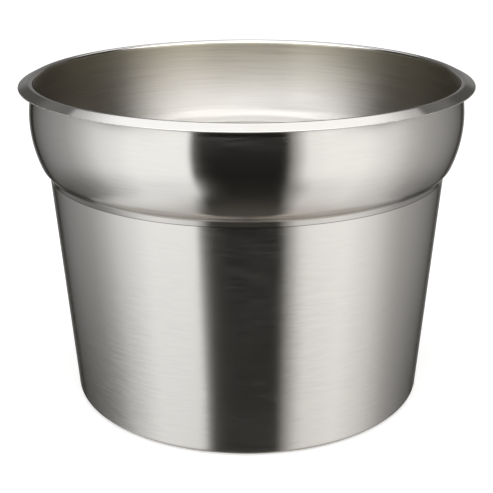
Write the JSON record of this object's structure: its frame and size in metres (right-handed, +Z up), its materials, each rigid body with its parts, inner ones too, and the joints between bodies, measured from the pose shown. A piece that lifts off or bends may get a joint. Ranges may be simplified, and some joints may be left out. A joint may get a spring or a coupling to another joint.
{
  "type": "soup kettle inset",
  "caption": "Round stainless steel inset pot of a soup kettle: tapered wall, rounded overhanging shoulder that seats in a kettle's opening, and a rolled rim with a sloping flange.",
  "frame": {"origin": "centre of the base, on the surface that the pot stands on", "axes": "+Z up along the pot's axis, towards the open mouth; the pot is round, so X and Y are alike"},
  "size_m": [0.292, 0.292, 0.2126],
  "materials": {
    "brushed_stainless": "satin, brushed round the pot"
  },
  "bodies": {
    "root": {"inset_pot": "brushed_stainless"}
  },
  "joints": []
}
